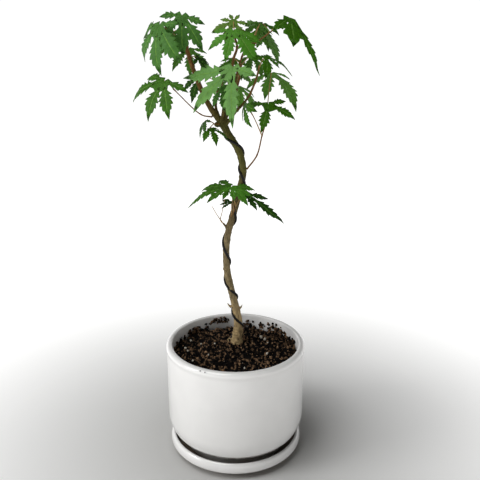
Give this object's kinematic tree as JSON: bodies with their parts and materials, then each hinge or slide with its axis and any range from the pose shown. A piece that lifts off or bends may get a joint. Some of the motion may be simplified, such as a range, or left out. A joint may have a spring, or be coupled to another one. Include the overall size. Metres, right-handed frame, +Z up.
{
  "type": "potted japanese maple",
  "caption": "Small wire-trained maple with a snaking trunk and drooping lobed leaves, in a white glazed cylinder pot on its saucer.",
  "frame": {"origin": "middle of the saucer's flat underside", "axes": "+Z up along the pot's axis, the plant's front faces -Y, +X to the right of the front"},
  "size_m": [0.1417, 0.1196, 0.3653],
  "materials": {
    "white_glaze": "satin glaze",
    "potting_mix": "rough granules and bark chips",
    "bark": "rough",
    "young_bark": "matte",
    "black_wire": "black coated",
    "leaves": "satin"
  },
  "bodies": {
    "root": {"saucer": "white_glaze", "pot": "white_glaze", "soil": "potting_mix", "trunk": "bark", "training_wire": "black_wire", "bough_left": "young_bark", "bough_inner": "young_bark", "bough_centre": "young_bark", "bough_right_high": "young_bark", "bough_right_low": "young_bark", "bough_front": "young_bark", "bough_back": "young_bark", "foliage_left_top": "leaves", "foliage_centre": "leaves", "foliage_right_top": "leaves", "foliage_front": "leaves", "foliage_right": "leaves", "foliage_twig": "leaves", "foliage_left": "leaves", "foliage_fork": "leaves", "foliage_inner": "leaves", "foliage_back": "leaves", "foliage_low": "leaves"}
  },
  "joints": []
}
